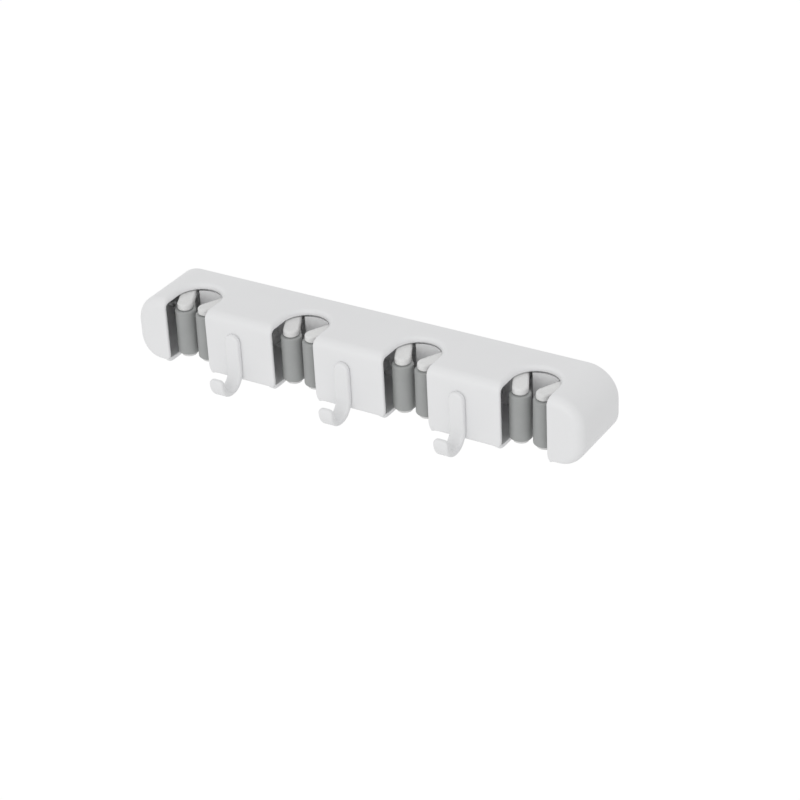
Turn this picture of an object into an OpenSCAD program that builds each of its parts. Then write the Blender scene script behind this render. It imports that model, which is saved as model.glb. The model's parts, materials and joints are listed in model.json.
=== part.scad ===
// Wall rack with four spring-loaded roller grips and three front hooks.
// Frame: origin at the middle of the wall face, X along the rack, Y into the wall, Z up.

/* [Body] */
// Distance between the middles of neighbouring grips
slot_pitch = 86; // [85:0.5:92]
// Middle of an outer grip to the end of the body
end_margin = 41.5; // [41:0.5:46]
// Depth from the wall to the front face
body_d = 51; // [50:0.5:56]
// Height of the body
body_h = 47; // [46:0.2:52]
// Radius of the upper corners, seen from the front
corner_top = 21; // [16:0.5:22]
// Radius of the lower corners, seen from the front
corner_low = 16; // [12:0.5:16]
// Rounding of the edge round the front face
front_round = 4.5; // [4:0.5:6.5]
// Wall of the cover
wall = 2.2; // [1.8:0.1:2.4]

/* [Grip slots] */
// Width of a slot
slot_w = 32.8; // [32:0.2:35]
// Front face to the centre of a slot's round end
slot_c = 17; // [16:0.5:18]
// Radius of the rolled lip along a slot's top edge
lip_round = 3.2; // [2.4:0.1:3.4]
// Depth of the lip below the top face
lip_drop = 3.8; // [3.6:0.1:5]
// Thickness of the lip
lip_wall = 2.2; // [1.6:0.1:2.6]
// Rounding of the upright edges of a mouth
edge_round = 1.2; // [0.6:0.1:1.6]
// Rounding of the front wall's lower corners beside a mouth
mouth_round = 4; // [2:0.5:5]

/* [Rollers] */
// Outer diameter of a rubber sleeve
roller_d = 15.2; // [14:0.2:15.6]
// Gap between the two shut rollers of a grip
roller_gap = 1.8; // [1:0.1:2.2]
// Front face to the roller axes
roller_in = 13; // [12.6:0.2:14]
// Bevel at the ends of a sleeve
roller_bevel = 0.8; // [0.4:0.1:1.2]
// Diameter of the hard core in a sleeve
core_d = 8.4; // [7:0.2:10]
// Diameter of the roller axle
axle_d = 4; // [3:0.2:4.6]
// How far the axle enters the blind hole of the upper link
axle_in = 1.6; // [1:0.1:2]

/* [Arms] */
// Pivot axis outside the edge of the slot
pivot_out = 1.4; // [1.2:0.1:2.2]
// Pivot axis behind the centre of the slot's round end
pivot_back = 14.5; // [14:0.1:15.5]
// Width of an arm link
link_w = 10.6; // [9:0.2:11]
// Thickness of an arm's upper link
top_link_t = 4.6; // [3.6:0.1:5]
// Thickness of an arm's lower link
low_link_t = 2; // [1.6:0.1:2.4]
// Thickness of the curved web between the links
web_t = 2.4; // [1.6:0.1:3]
// Pivot axis to the centre of the arm's heel
heel_l = 6; // [5:0.2:7]
// Width of the heel
heel_w = 8; // [7:0.2:9]
// Diameter of the pivot pin
pivot_d = 4; // [3:0.1:4.4]

/* [Springs] */
// Wire diameter
spring_wire = 0.8; // [0.5:0.1:0.9]
// Gap between the turns
spring_gap = 0.5; // [0.45:0.05:0.8]
// Number of full turns
spring_turns = 5; // [3:1:7]
// Clearance between the pivot pin and the turns
spring_play = 0.5; // [0.3:0.1:0.7]

/* [Base] */
// Thickness of the back plate
base_t = 3; // [2.4:0.1:3.4]
// Thickness of a pivot lug
lug_t = 3; // [2:0.1:4]
// Width of a pivot lug
lug_w = 8.4; // [7.4:0.2:9]
// Thickness of the cradle wall
cradle_t = 2.2; // [1.6:0.1:3]
// How far the cradle lies behind the slot's rim
cradle_back = 0.5; // [0.3:0.1:1]
// Gap between the lip and the top of a cradle
cradle_gap = 1.4; // [0.4:0.1:2]
// Half of the cradle's arc, in degrees
cradle_half = 33; // [24:1:36]
// Spacing of the two ribs behind a cradle
cradle_rib_s = 12; // [8:0.5:14]
// Thickness of the ribs and stops
rib_t = 2.2; // [1.6:0.1:2.6]
// Distance between the keyhole hangers
key_s = 172; // [160:1:184]
// Diameter of a keyhole's entry
key_d = 9; // [8:0.2:10]
// Width of a keyhole's slot
key_w = 4.6; // [4:0.1:5]
// Rise from the entry to the seat
key_rise = 9; // [7:0.5:9]
// Height of the entry above the middle
key_z = 3; // [2:0.5:3]

/* [Screws] */
// Shank diameter
screw_d = 2.9; // [2.4:0.1:3.2]
// Length under the head
screw_l = 12; // [10:0.5:14]
// Head diameter
screw_head_d = 5.6; // [5:0.1:6]
// Head height
screw_head_h = 1.8; // [1.4:0.1:2]
// Diameter of a screw post in the cover
post_d = 7.2; // [6.4:0.2:7.6]
// Depth of the end posts
end_post_l = 12; // [12:0.5:16]
// Height of the middle posts below the middle
post_low = 12; // [11.5:0.25:12.5]
// Diameter of the pad round a screw hole
pad_d = 10; // [9:0.2:10]
// Height of that pad
pad_h = 1.6; // [1.2:0.1:2]
// Plate left under a screw head
seat_t = 2; // [1.6:0.1:2.2]

/* [Hooks] */
// Width of a hook
hook_w = 10.8; // [10:0.2:13]
// Thickness of a hook
hook_t = 4; // [3.6:0.1:4.4]
// Rounding of a hook's edges
hook_edge = 1.6; // [0.8:0.1:1.7]
// Front face to the foremost point of a hook
hook_reach = 25; // [24.5:0.5:28]
// Lowest point below the body
hook_drop = 3.9; // [3.7:0.1:6]
// Outer radius of the curl below the strip
curl_back = 12; // [10:0.5:12.5]
// Outer radius of the curl below the tip
curl_tip = 12; // [10:0.5:12]
// Top of the strip above the body's lower edge
hook_top = 35.5; // [32:0.5:37]
// Top of the tip above the body's lower edge
tip_top = 11.8; // [11.6:0.1:14]
// Rounding of the tip's corners
tip_round = 3.4; // [3.4:0.1:3.6]
// Middle of the strip left of the middle of the block
hook_shift = 3.4; // [0:0.2:4]
// Diameter of the pegs behind the strip
peg_d = 4; // [3:0.1:4.4]
// Length of a peg past the front wall
peg_out = 3; // [2:0.5:4]

/* [Fits] */
// Radial clearance of turning fits
run_gap = 0.07; // [0.03:0.01:0.1]
// Radial clearance of pressed fits
press_gap = 0.02; // [0.01:0.01:0.03]
// Clearance of parts that pass each other
pass_gap = 0.25; // [0.2:0.05:0.4]
// Clearance between the base and the cover
base_gap = 0.3; // [0.2:0.05:0.5]
// Clearance between the lip and the upper links
lip_gap = 0.7; // [0.6:0.05:1.2]
// Clearance between a roller and its web
web_gap = 0.7; // [0.4:0.1:1]

/* [Hidden] */
$fn = 64;
SLOTS = 4;
SIDES = ["left", "right"];
PIECES = ["arm", "roller", "core", "axle", "pivot", "spring"];
over = 1;

// Body
half_l = (SLOTS - 1) * slot_pitch / 2 + end_margin;
half_h = body_h / 2;
front = -body_d;
slot_r = slot_w / 2;
slot_y = front + slot_c;

// Heights, from the floor of the cover up to the lip
low_link_z = -half_h + wall + pass_gap;
low_lug_z = low_link_z + low_link_t + pass_gap;
core_z = low_lug_z;
lip_z = half_h - lip_drop;
link_end_z = lip_z - lip_gap;
top_link_z = link_end_z - top_link_t;
core_l = top_link_z - pass_gap - core_z;
top_lug_z = top_link_z - pass_gap - lug_t;

// Plan of a right-hand arm, seen from above
roller_r = roller_d / 2;
roller_x = roller_r + roller_gap / 2;
roller_y = front + roller_in;
pivot_x = slot_r + pivot_out;
pivot_y = slot_y + pivot_back;
arm_l = norm([roller_x - pivot_x, roller_y - pivot_y]);
arm_turn = atan2(roller_y - pivot_y, roller_x - pivot_x);
heel_x = pivot_x - heel_l * cos(arm_turn);
heel_y = pivot_y - heel_l * sin(arm_turn);
stop_x = heel_x + heel_w / 2 + pass_gap;

// Screws
pad_y = -base_t - pad_h;
screw_seat = pad_y + seat_t;
end_post_x = half_l - wall - post_d;
SCREWS = concat(
    [for (k = [1 : SLOTS - 1]) [block_x(k), -post_low]],
    [for (e = [-1, 1]) [e * end_post_x, 0]]
);

// Hooks
hook_z = -half_h - hook_drop;
strip_top = -half_h + hook_top;
tip_z = -half_h + tip_top;
PEGS = [strip_top - hook_w / 2 + peg_d / 2, -post_low + post_d / 2 + peg_d];

// Springs
coil_r = pivot_d / 2 + spring_play + spring_wire / 2;
coil_step = spring_wire + spring_gap;
coil_z = low_lug_z + lug_t + spring_gap + spring_wire / 2;
coil_rings = 8;
tube_sides = 6;
leg_l = arm_l - roller_r;
leg_turn = asin((link_w / 2 + spring_wire - coil_r) / leg_l);
coil_end = 90 + arm_turn + leg_turn;
coil_steps = spring_turns * coil_rings;

function slot_x(i) = (i - (SLOTS + 1) / 2) * slot_pitch;
function block_x(k) = (k - SLOTS / 2) * slot_pitch;

// Area outside a rounded corner whose solid lies in the +x +y quarter
module corner_cut(r) {
    difference() {
        translate([-over, -over]) square(r + over);
        translate([r, r]) circle(r);
    }
}

// Strip w wide and d deep with one rounded outer corner at the front
module edge_profile(w, d, r) {
    difference() {
        square([w, d]);
        if (r > 0) translate([w, 0]) mirror([1, 0]) corner_cut(r);
    }
}

// Rounded plate seen along Y: half length a, half height b, corner radii rt and rb,
// with its front edge rounded by r
module slab(a, b, rt, rb, r, y0, y1) {
    d = y1 - y0;
    rs = min(rt, rb);
    translate([rs - a, y0, rb - b]) cube([2 * (a - rs), d, 2 * b - rt - rb]);
    for (half = [[0, rb], [1, rt]]) mirror([0, 0, half[0]]) {
        rc = half[1];
        translate([0, y0, rc - b]) rotate([0, 90, 0])
            linear_extrude(2 * (a - rc), center = true) edge_profile(rc, d, r);
        for (m = [0, 1]) mirror([m, 0, 0]) translate([a - rc, y0, rc - b]) rotate([-90, 0, 0])
            rotate_extrude(angle = 90) edge_profile(rc, d, r);
    }
    for (m = [0, 1]) mirror([m, 0, 0]) translate([a - rs, y0, rb - b])
        linear_extrude(2 * b - rt - rb) edge_profile(rs, d, r);
}

// Plan of a slot from the line y0 to its round end
module slot_plan(r, y0) {
    translate([-r, y0]) square([2 * r, slot_y - y0]);
    translate([0, slot_y]) difference() {
        circle(r);
        translate([-r - over, -r - over]) square([2 * (r + over), r + over]);
    }
}

// Everything that one slot takes out of the cover
module slot_cut() {
    translate([0, 0, -half_h - over]) linear_extrude(body_h + 2 * over) slot_plan(slot_r, front - over);
    translate([0, slot_y, half_h]) rotate_extrude(angle = 180)
        translate([slot_r, 0]) mirror([0, 1]) corner_cut(lip_round);
    for (m = [0, 1]) mirror([m, 0, 0]) {
        translate([slot_r, front - over, half_h]) rotate([-90, 0, 0])
            linear_extrude(slot_c + over) corner_cut(lip_round);
        translate([slot_r, front, -half_h - over]) linear_extrude(body_h + 2 * over) corner_cut(edge_round);
        translate([slot_r, front + wall + over, -half_h]) rotate([90, 0, 0])
            linear_extrude(wall + 2 * over) corner_cut(mouth_round);
    }
}

// Runs along Y from y0 to y1
module rod(x, z, d, y0, y1) {
    translate([x, y0, z]) rotate([-90, 0, 0]) cylinder(d = d, h = y1 - y0);
}

// Front moulding: a shell open to the wall, with lips, posts and peg holes
module cover() {
    color("white") difference() {
        union() {
            difference() {
                slab(half_l, half_h, corner_top, corner_low, front_round, front, 0);
                slab(half_l - wall, half_h - wall, corner_top - wall, corner_low - wall,
                    front_round - wall, front + wall, over);
            }
            for (i = [1 : SLOTS]) translate([slot_x(i), 0, lip_z])
                linear_extrude(lip_drop - wall / 2) slot_plan(slot_r + lip_wall, front + front_round);
            for (k = [1 : SLOTS - 1]) rod(block_x(k), -post_low, post_d, front + wall / 2, pad_y);
            for (m = [0, 1]) mirror([m, 0, 0]) {
                rod(end_post_x, 0, post_d, pad_y - end_post_l, pad_y);
                translate([end_post_x, pad_y - end_post_l, -rib_t / 2])
                    cube([half_l - wall / 2 - end_post_x, end_post_l, rib_t]);
            }
        }
        for (i = [1 : SLOTS]) translate([slot_x(i), 0, 0]) slot_cut();
        for (s = SCREWS) rod(s[0], s[1], screw_d + 2 * press_gap, screw_seat - screw_l - pass_gap, over);
        for (k = [1 : SLOTS - 1]) for (z = PEGS)
            rod(block_x(k) - hook_shift, z, peg_d + 2 * press_gap, front - over, front + wall + over);
    }
}

// Half of the parts that one grip needs on the base: lugs and the stop of the arm
module arm_mount() {
    for (z = [low_lug_z, top_lug_z]) translate([0, 0, z]) linear_extrude(lug_t) difference() {
        union() {
            translate([pivot_x, pivot_y]) circle(d = lug_w);
            translate([pivot_x - lug_w / 2, pivot_y]) square([lug_w, -base_t - pivot_y]);
        }
        translate([pivot_x, pivot_y]) circle(d = pivot_d + 2 * press_gap);
    }
    translate([stop_x, heel_y - heel_w / 2, low_link_z])
        cube([rib_t, -base_t - heel_y + heel_w / 2, link_end_z - low_link_z]);
}

// Concave wall that a handle leans on, with its two ribs
module cradle() {
    r0 = slot_r + cradle_back;
    rib_x = cradle_rib_s / 2;
    z1 = lip_z - cradle_gap;
    translate([0, slot_y, low_link_z]) rotate([0, 0, 90 - cradle_half])
        rotate_extrude(angle = 2 * cradle_half) translate([r0, 0]) square([cradle_t, z1 - low_link_z]);
    for (m = [-1, 1]) {
        y0 = slot_y + sqrt(pow(r0 + cradle_t / 2, 2) - rib_x * rib_x);
        translate([m * rib_x - rib_t / 2, y0, low_link_z]) cube([rib_t, -base_t - y0, z1 - low_link_z]);
    }
}

// Keyhole: a round entry and a narrow slot up to the seat
module keyhole_cut() {
    rod(0, 0, key_d, -base_t - over, over);
    rod(0, key_rise, key_w, -base_t - over, over);
    translate([-key_w / 2, -base_t - over, 0]) cube([key_w, base_t + 2 * over, key_rise]);
}

// Back moulding: plate, cradles, lugs, stops, screw pads and keyholes
module base() {
    inset = wall + base_gap;
    color("white") difference() {
        union() {
            slab(half_l - inset, half_h - inset, corner_top - inset, corner_low - inset, 0, -base_t, 0);
            for (i = [1 : SLOTS]) translate([slot_x(i), 0, 0]) {
                cradle();
                for (m = [0, 1]) mirror([m, 0, 0]) arm_mount();
            }
            for (s = SCREWS) rod(s[0], s[1], pad_d, pad_y, -base_t / 2);
        }
        for (s = SCREWS) {
            rod(s[0], s[1], screw_d + 2 * pass_gap, pad_y - over, over);
            rod(s[0], s[1], screw_head_d + 2 * pass_gap, screw_seat, over);
        }
        for (m = [-1, 1]) translate([m * key_s / 2, 0, key_z]) keyhole_cut();
    }
}

// Pan-head screws from the back through the base into the posts
module cover_screws() {
    color("silver") for (s = SCREWS) {
        rod(s[0], s[1], screw_d, screw_seat - screw_l, screw_seat);
        rod(s[0], s[1], screw_head_d, screw_seat, screw_seat + screw_head_h);
    }
}

// Section of a hook's rim: x runs outwards to r, y through the thickness from the outer side,
// which has a square edge where it lies flat on the body
module rim_section(r, flat) {
    e = hook_edge;
    square([r - e, hook_t]);
    translate([0, e]) square([r, hook_t - 2 * e]);
    for (y = [e, hook_t - e]) translate([r - e, y]) circle(e);
    if (flat) square([r, e]);
}

// Whole section of a hook, as wide as the strip
module bar_section(flat) {
    for (m = [0, 1]) mirror([m, 0]) rim_section(hook_w / 2, flat);
}

// Quarter of a ring with the hook's section and the outer radius r
module bend(r) {
    rotate_extrude(angle = 90) translate([r, 0]) rotate(90) bar_section(false);
}

// One hook: strip with a round top, curl, turned-up tip and two pegs through the front wall
module hook(k) {
    strip_low = hook_z + curl_back;
    strip_high = strip_top - hook_w / 2;
    tip_low = hook_z + curl_tip;
    tip_high = tip_z - tip_round;
    tip_y = curl_tip - hook_reach;
    color("white") translate([block_x(k) - hook_shift, front, 0]) {
        translate([0, 0, strip_high]) rotate([90, 0, 0])
            rotate_extrude(angle = 180) rim_section(hook_w / 2, true);
        translate([0, 0, strip_low]) rotate([0, 0, 180]) linear_extrude(strip_high - strip_low) bar_section(true);
        translate([0, -curl_back, strip_low]) rotate([-90, 0, 90]) bend(curl_back);
        translate([0, -curl_back, hook_z]) rotate([90, 0, 0])
            linear_extrude(-curl_back - tip_y) bar_section(false);
        translate([0, tip_y, tip_low]) rotate([0, 90, 180]) bend(curl_tip);
        translate([0, -hook_reach, tip_low]) linear_extrude(tip_high - tip_low) bar_section(false);
        translate([0, -hook_reach, tip_high]) rotate([0, -90, 0])
            linear_extrude(hook_w - 2 * tip_round, center = true) rim_section(tip_round, false);
        for (m = [0, 1]) mirror([m, 0, 0])
            translate([hook_w / 2 - tip_round, hook_t - hook_reach, tip_high]) rotate([90, 0, 0])
                rotate_extrude(angle = 90) rim_section(tip_round, false);
        for (z = PEGS) rod(0, z, peg_d, -hook_t / 2, wall + peg_out);
    }
}

// Plan of an arm link on its own axis: pivot at the origin, roller at +x, heel at -x
module link_plan() {
    circle(d = link_w);
    translate([arm_l, 0]) circle(d = link_w);
    translate([0, -link_w / 2]) square([arm_l, link_w]);
    translate([-heel_l, 0]) circle(d = heel_w);
    translate([-heel_l, -heel_w / 2]) square([heel_l, heel_w]);
}

// Moves a right-hand piece from the arm's own axis into the grip
module on_arm() {
    translate([pivot_x, pivot_y, 0]) rotate([0, 0, arm_turn]) children();
}

// Yoke: two links joined by a curved web behind the roller
module arm() {
    web_r = roller_r + web_gap;
    color("white") on_arm() difference() {
        union() {
            translate([0, 0, low_link_z]) linear_extrude(low_link_t) link_plan();
            translate([0, 0, top_link_z]) linear_extrude(top_link_t) link_plan();
            translate([0, 0, low_link_z]) linear_extrude(link_end_z - low_link_z) intersection() {
                link_plan();
                translate([arm_l, 0]) difference() {
                    circle(web_r + web_t);
                    circle(web_r);
                    translate([0, -arm_l]) square(2 * arm_l);
                }
            }
        }
        translate([0, 0, low_link_z - over])
            cylinder(d = pivot_d + 2 * run_gap, h = body_h);
        translate([arm_l, 0, low_link_z - over])
            cylinder(d = axle_d + 2 * press_gap, h = top_link_z - low_link_z + axle_in + over);
    }
}

// Rubber sleeve with bevelled ends
module roller() {
    r0 = core_d / 2 + press_gap;
    l = core_l - 2 * pass_gap;
    b = roller_bevel;
    color("gray") translate([roller_x, roller_y, core_z + pass_gap]) rotate_extrude() polygon([
        [r0, 0], [roller_r - b, 0], [roller_r, b], [roller_r, l - b], [roller_r - b, l], [r0, l]
    ]);
}

// Hard bush inside the sleeve
module core() {
    color("whitesmoke") translate([roller_x, roller_y, core_z]) difference() {
        cylinder(d = core_d, h = core_l);
        translate([0, 0, -over]) cylinder(d = axle_d + 2 * run_gap, h = core_l + 2 * over);
    }
}

// Steel pin of a roller, pressed up into the arm
module axle() {
    color("silver") translate([roller_x, roller_y, low_link_z])
        cylinder(d = axle_d, h = top_link_z + axle_in - low_link_z);
}

// Steel pin of an arm, held in the lugs
module pivot() {
    color("silver") translate([pivot_x, pivot_y, low_link_z])
        cylinder(d = pivot_d, h = link_end_z - low_link_z);
}

// Middle line of a right-hand spring: back leg, turns, front leg
function coil_point(t) = [
    pivot_x + coil_r * cos(coil_end * t - 360 * spring_turns * t),
    pivot_y + coil_r * sin(coil_end * t - 360 * spring_turns * t),
    coil_z + coil_step * spring_turns * t
];
SPRING = concat(
    [[pivot_x + coil_r, -base_t - spring_wire / 2 - pass_gap, coil_z]],
    [for (k = [0 : coil_steps]) coil_point(k / coil_steps)],
    [coil_point(1) + leg_l * [sin(coil_end), -cos(coil_end), 0]]
);

// Least clear distance between turns, measured on points more than half a turn apart
turn_gap = min([
    for (a = [0 : coil_steps]) for (b = [a + coil_rings / 2 : coil_steps])
        if (b <= coil_steps) norm(coil_point(a / coil_steps) - coil_point(b / coil_steps)) - spring_wire
]);
echo(least_gap_between_turns = turn_gap);

// Tube of six sides along a path that never runs straight up
module tube(path, r) {
    n = len(path);
    dirs = [for (k = [0 : n - 1]) path[min(k + 1, n - 1)] - path[max(k - 1, 0)]];
    sides = [for (d = dirs) [d[1], -d[0], 0] / norm([d[0], d[1]])];
    ups = [for (k = [0 : n - 1]) cross(sides[k], dirs[k]) / norm(dirs[k])];
    rings = [for (k = [0 : n - 1]) for (s = [0 : tube_sides - 1])
        path[k] + r * (cos(360 * s / tube_sides) * sides[k] + sin(360 * s / tube_sides) * ups[k])];
    walls = [for (k = [0 : n - 2]) for (s = [0 : tube_sides - 1])
        let (a = k * tube_sides + s, b = k * tube_sides + (s + 1) % tube_sides)
            each [[a, b, b + tube_sides], [a, b + tube_sides, a + tube_sides]]];
    ends = [for (s = [1 : tube_sides - 2])
        each [[0, s + 1, s], (n - 1) * tube_sides * [1, 1, 1] + [0, s, s + 1]]];
    polyhedron(rings, concat(walls, ends));
}

// Torsion spring round the pivot pin
module spring() {
    color("silver") tube(SPRING, spring_wire / 2);
}

// Puts a right-hand piece on one side of one grip
module in_grip(i, side) {
    translate([slot_x(i), 0, 0]) mirror([side == "left" ? 1 : 0, 0, 0]) children();
}

cover();
base();
cover_screws();
for (k = [1 : SLOTS - 1]) hook(k);
for (i = [1 : SLOTS]) for (s = SIDES) in_grip(i, s) {
    arm();
    roller();
    core();
    axle();
    pivot();
    spring();
}
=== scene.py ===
"""Looks of a wall rack with four roller grips and three hooks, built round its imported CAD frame.

Every surface is worked out with numpy, in metres, in the frame of the CAD model:
X along the rack, Y into the wall, Z up, origin in the middle of the wall face.
"""
import json
import math

import bmesh
import bpy
import numpy as np
from mathutils import Matrix, Vector


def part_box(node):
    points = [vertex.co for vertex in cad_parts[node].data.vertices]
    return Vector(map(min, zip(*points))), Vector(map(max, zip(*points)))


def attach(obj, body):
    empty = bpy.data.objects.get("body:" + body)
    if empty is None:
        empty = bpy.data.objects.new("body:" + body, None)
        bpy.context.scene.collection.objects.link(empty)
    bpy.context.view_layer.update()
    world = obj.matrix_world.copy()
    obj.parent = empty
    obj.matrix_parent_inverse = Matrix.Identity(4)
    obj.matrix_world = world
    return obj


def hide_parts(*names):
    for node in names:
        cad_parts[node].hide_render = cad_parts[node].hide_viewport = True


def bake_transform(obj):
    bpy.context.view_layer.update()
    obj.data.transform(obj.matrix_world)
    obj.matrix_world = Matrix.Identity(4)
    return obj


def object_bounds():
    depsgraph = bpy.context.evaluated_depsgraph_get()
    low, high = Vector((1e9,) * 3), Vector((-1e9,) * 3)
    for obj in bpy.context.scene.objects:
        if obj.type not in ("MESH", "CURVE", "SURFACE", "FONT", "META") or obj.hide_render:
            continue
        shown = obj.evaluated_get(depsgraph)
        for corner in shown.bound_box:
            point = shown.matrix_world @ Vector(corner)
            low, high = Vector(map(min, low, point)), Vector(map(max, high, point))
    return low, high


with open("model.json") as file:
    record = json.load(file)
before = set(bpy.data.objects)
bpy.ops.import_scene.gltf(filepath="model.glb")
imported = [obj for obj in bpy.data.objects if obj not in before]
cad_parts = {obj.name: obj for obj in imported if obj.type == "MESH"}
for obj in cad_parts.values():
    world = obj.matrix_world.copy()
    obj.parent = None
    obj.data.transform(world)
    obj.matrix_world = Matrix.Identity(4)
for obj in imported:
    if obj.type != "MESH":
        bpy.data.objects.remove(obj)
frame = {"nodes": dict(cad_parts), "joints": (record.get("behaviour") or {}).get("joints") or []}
CAD_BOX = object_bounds()

bl_info = {
    "name": "Mop holder rack",
    "version": (1, 0, 0),
    "blender": (4, 5, 0),
    "location": "3D View > Sidebar > Mop rack",
    "description": "Dresses the CAD frame of a wall rack with roller grips and hooks",
    "category": "Object",
}

MM = 0.001
TINY = 1e-7
WELD = 0.004 * MM
CREASE = math.radians(35)
QUARTER = math.pi / 2
SIDES = ("left", "right")
RACK = "rack"
JOINTS = {joint["name"]: joint for joint in frame["joints"]}
SLOTS = range(1, 1 + sum(name.startswith("arm_swing") for name in JOINTS) // len(SIDES))
GRIPS = [(slot, side) for slot in SLOTS for side in SIDES]

# Measures read from the frame

COVER_LOW, COVER_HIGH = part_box("cover")
ROLLER_LOW, ROLLER_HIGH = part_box("roller_1_right")
CORE_LOW, CORE_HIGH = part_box("core_1_right")
AXLE_LOW, AXLE_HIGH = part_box("axle_1_right")
PIVOT_LOW, PIVOT_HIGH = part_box("pivot_1_right")
ARM_LOW, ARM_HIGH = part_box("arm_1_right")
HOOK_LOW, HOOK_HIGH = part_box("hook_2")
SPRING_LOW, SPRING_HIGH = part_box("spring_1_right")
SCREW_LOW, SCREW_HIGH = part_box("cover_screws")
ROLLER_R = (ROLLER_HIGH.x - ROLLER_LOW.x) / 2
CORE_R = (CORE_HIGH.x - CORE_LOW.x) / 2
AXLE_R = (AXLE_HIGH.x - AXLE_LOW.x) / 2


def slot_middle(slot):
    """Place along X halfway between the two rollers of a grip."""
    left, right = (JOINTS[f"roller_spin_{slot}_{side}"]["pos_m"][0] for side in SIDES)
    return (left + right) / 2


def length(name, description, default):
    """Property that holds a length in metres."""
    return bpy.props.FloatProperty(
        name=name, description=description, default=default, min=0.0, unit="LENGTH", precision=5
    )


def colour(name, description, default):
    """Property that holds a linear colour."""
    return bpy.props.FloatVectorProperty(
        name=name, description=description, default=default, min=0.0, max=1.0, size=3, subtype="COLOR"
    )


def share(name, description, default):
    """Property that holds a number from 0 to 1."""
    return bpy.props.FloatProperty(
        name=name, description=description, default=default, min=0.0, max=1.0, subtype="FACTOR"
    )


class CoverSizes(bpy.types.PropertyGroup):
    """Sizes of the moulded cover."""

    half_length: length("Half length", "Middle to the end of the cover", COVER_HIGH.x)
    half_height: length("Half height", "Middle to the top of the cover", COVER_HIGH.z)
    depth: length("Depth", "Wall to the front face", -COVER_LOW.y)
    wall: length("Wall", "Thickness of the moulding", 2.2 * MM)
    corner_top: length("Upper corner", "Radius of the upper corners, from the front", 21 * MM)
    corner_low: length("Lower corner", "Radius of the lower corners, from the front", 16 * MM)
    front_top: length("Front top rounding", "Radius between the top and the front", 6.5 * MM)
    front_low: length("Front low rounding", "Radius between the front and the underside", 3 * MM)
    front_end: length("Front end rounding", "Radius between the front and the ends", 7 * MM)
    slot_width: length("Slot width", "Clear width of a grip slot", 32.8 * MM)
    slot_centre: length("Slot centre", "Front face to the centre of the slot's round end", 17 * MM)
    lip_round: length("Lip rounding", "Radius of the rolled lip on the top", 3.2 * MM)
    lip_drop: length("Lip drop", "Depth of the lip below the top", 3.8 * MM)
    lip_wall: length("Lip wall", "Thickness of the lip", 2.2 * MM)
    mouth_round: length("Mouth rounding", "Radius of the upright edges of a mouth", 1.2 * MM)
    mouth_corner: length("Mouth corner", "Rounding of the front's lower corners beside a mouth", 2.2 * MM)
    low_round: length("Lower rounding", "Radius of a slot's edge on the underside", 1.0 * MM)
    low_bead: length("Lower bead", "Height of the bead round a slot on the underside", 0.9 * MM)
    bead_width: length("Bead width", "Distance from a slot's edge at which its bead has run out", 3.5 * MM)
    edge: length("Inner edge", "Rounding of the edges inside the moulding", 0.35 * MM)
    post: length("Post diameter", "Diameter of the screw posts inside", 7.2 * MM)
    post_low: length("Post height", "Posts of the blocks below the middle", 12 * MM)
    end_post_depth: length("End post", "Depth of the posts at the ends", 12 * MM)
    bore_depth: length("Bore depth", "Depth of the screw holes in the posts", 8 * MM)
    pad: length("Pad", "Wall to the pads of the base that the posts stand on", 4.6 * MM)


class GripSizes(bpy.types.PropertyGroup):
    """Sizes of the arms, rollers and their pins."""

    link_width: length("Link width", "Width of an arm link", 10.6 * MM)
    link_top: length("Upper link", "Thickness of an arm's upper link", 4.6 * MM)
    link_low: length("Lower link", "Thickness of an arm's lower link", 2 * MM)
    link_edge: length("Link edge", "Rounding of a link's edges", 0.7 * MM)
    link_crown: length("Link crown", "Rounding of an upper link's top edges", 1.5 * MM)
    heel_length: length("Heel length", "Pivot to the centre of the heel", 6 * MM)
    heel_width: length("Heel width", "Width of the heel", 8 * MM)
    web_gap: length("Web gap", "Clearance between a roller and its web", 0.7 * MM)
    web_thick: length("Web thickness", "Thickness of the curved web", 2.4 * MM)
    bevel: length("Sleeve rounding", "Radius at the ends of a sleeve", 1.2 * MM)
    draft: length("Sleeve draft", "How much slimmer a sleeve's top is than its foot, in radius", 0.4 * MM)
    fit: length("Fit", "Clearance between the pin, core and sleeve", 0.02 * MM)
    pin_chamfer: length("Pin chamfer", "Chamfer at the ends of a pin", 0.35 * MM)
    pin_crown: length("Pin crown", "Rise of a pin's domed end", 0.15 * MM)
    wire: length("Spring wire", "Diameter of the spring wire", 0.8 * MM)
    coil: length("Coil radius", "Radius of the spring's turns", 2.9 * MM)
    turn_step: length("Coil step", "Rise of one turn", 1.3 * MM)


class HookSizes(bpy.types.PropertyGroup):
    """Sizes of the hooks."""

    thick: length("Thickness", "Thickness of a hook", 4 * MM)
    edge: length("Edge", "Rounding of a hook's edges", 1.6 * MM)
    back_edge: length("Back edge", "Rounding of the edges next to the body", 0.7 * MM)
    shadow_gap: length("Shadow gap", "Slit between the strip and the body", 0.3 * MM)
    curl_back: length("Back curl", "Outer radius of the curl below the strip", 12 * MM)
    curl_tip: length("Tip curl", "Outer radius of the curl below the tip", 12 * MM)
    tip_top: length("Tip height", "Top of the tip above the hook's lowest point", 15.7 * MM)
    tip_round: length("Tip rounding", "Radius of the tip's corners", 3.4 * MM)
    peg: length("Peg diameter", "Diameter of the pegs behind the strip", 4 * MM)


class ScrewSizes(bpy.types.PropertyGroup):
    """Sizes of the cover screws."""

    head: length("Head", "Diameter of the pan head", 5.6 * MM)
    head_height: length("Head height", "Height of the pan head", 1.8 * MM)
    shank: length("Shank", "Diameter over the thread", 2.9 * MM)
    thread: length("Thread", "Depth of the thread", 0.25 * MM)
    pitch: length("Pitch", "Climb of the thread in one turn", 1.1 * MM)
    recess: length("Recess", "Width of the cross recess", 0.9 * MM)


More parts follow.
